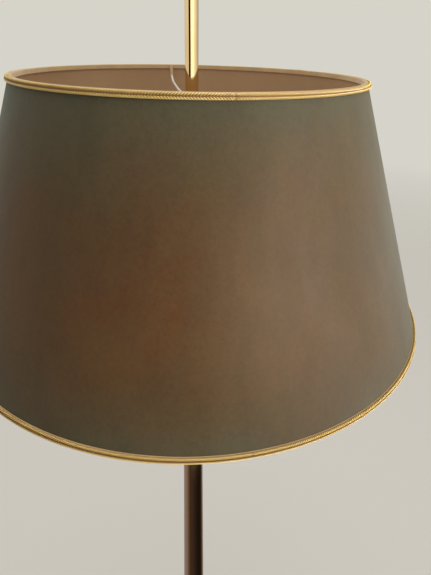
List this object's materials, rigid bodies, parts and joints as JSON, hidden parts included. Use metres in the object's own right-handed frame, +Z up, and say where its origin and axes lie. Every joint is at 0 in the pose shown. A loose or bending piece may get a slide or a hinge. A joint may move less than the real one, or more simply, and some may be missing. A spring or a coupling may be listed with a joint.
{
  "type": "floor lamp",
  "caption": "Floor lamp with a wide conical fabric shade edged in twisted cord, on a brass rod that slides in a tapered brass column with a round weighted base.",
  "frame": {"origin": "on the floor, at the centre of the round base", "axes": "+Z up along the rod; -Y is the front, the cable inlet is at the back (+Y); the two lampholders lie along +X and -X"},
  "size_m": [0.5051, 0.505, 1.533],
  "materials": {
    "polished_brass": "polished, lacquered",
    "contact_brass": "plain",
    "cast_iron": "as cast, painted black",
    "zinc_steel": "zinc plated",
    "nickel": "nickel plated sheet",
    "felt": "dark pressed felt",
    "black_rubber": "matt",
    "nylon": "natural nylon",
    "porcelain": "white glaze",
    "opal_glass": "opal, frosted inside",
    "key_plastic": "black, moulded",
    "white_wire": "white plastic-coated wire",
    "shade_fabric": "olive-brown satin-faced suede cloth",
    "shade_lining": "matt gold-brown lining",
    "binding_tape": "champagne satin binding tape",
    "trim_cord": "twisted gold rayon cord"
  },
  "bodies": {
    "stand": {"base_felt": "felt", "base_weight": "cast_iron", "base_cover": "polished_brass", "cable_grommet": "black_rubber", "tie_rod": "zinc_steel", "tie_washer": "zinc_steel", "tie_nut": "zinc_steel", "column_plug": "zinc_steel", "column_foot": "polished_brass", "column_tube": "polished_brass", "column_ferrule": "polished_brass", "guide_bush": "nylon"},
    "clamp": {"clamp_ring": "polished_brass"},
    "head": {"rod_tube": "polished_brass", "rod_stop": "nylon", "finial_collar": "polished_brass", "finial_ball": "polished_brass", "cluster_body": "polished_brass", "cluster_lid": "polished_brass", "set_screws": "zinc_steel", "shade_seat": "polished_brass", "shade_nut": "polished_brass", "holder_nipples": "zinc_steel", "holder_nuts": "zinc_steel", "holder_cap_1": "polished_brass", "holder_insert_1": "porcelain", "thread_sleeve_1": "nickel", "centre_contact_1": "contact_brass", "holder_shell_1": "polished_brass", "bulb_cap_1": "nickel", "bulb_glass_1": "opal_glass", "holder_cap_2": "polished_brass", "holder_insert_2": "porcelain", "thread_sleeve_2": "nickel", "centre_contact_2": "contact_brass", "holder_shell_2": "polished_brass", "bulb_cap_2": "nickel", "bulb_glass_2": "opal_glass"},
    "switch_1": {"switch_key_1": "key_plastic"},
    "switch_2": {"switch_key_2": "key_plastic"},
    "shade": {"spider_hub": "white_wire", "spider_arm_1": "white_wire", "spider_arm_2": "white_wire", "spider_arm_3": "white_wire", "top_ring": "white_wire", "bottom_ring": "white_wire", "shade_cover": "shade_fabric", "shade_lining": "shade_lining", "top_binding": "binding_tape", "bottom_binding": "binding_tape", "top_trim_upper": "trim_cord", "top_trim_lower": "trim_cord", "bottom_trim_upper": "trim_cord", "bottom_trim_lower": "trim_cord"}
  },
  "joints": [
    {"name": "height_slide", "type": "slide", "parent": "stand", "child": "head", "axis": [0, 0, 1], "range_m": [-0.18, 0.205]},
    {"name": "clamp_turn", "type": "hinge", "parent": "stand", "child": "clamp", "pos_m": [0, 0, 1.034], "axis": [0, 0, 1], "range_deg": [0, 120]},
    {"name": "shade_turn", "type": "hinge", "parent": "head", "child": "shade", "pos_m": [0, 0, 1.3543], "axis": [0, 0, 1], "continuous": true},
    {"name": "switch_1_turn", "type": "hinge", "parent": "head", "child": "switch_1", "pos_m": [0.053, 0, 1.25], "axis": [0, 0, -1], "range_deg": [0, 90]},
    {"name": "switch_2_turn", "type": "hinge", "parent": "head", "child": "switch_2", "pos_m": [-0.053, 0, 1.25], "axis": [0, 0, -1], "range_deg": [0, 90]}
  ]
}
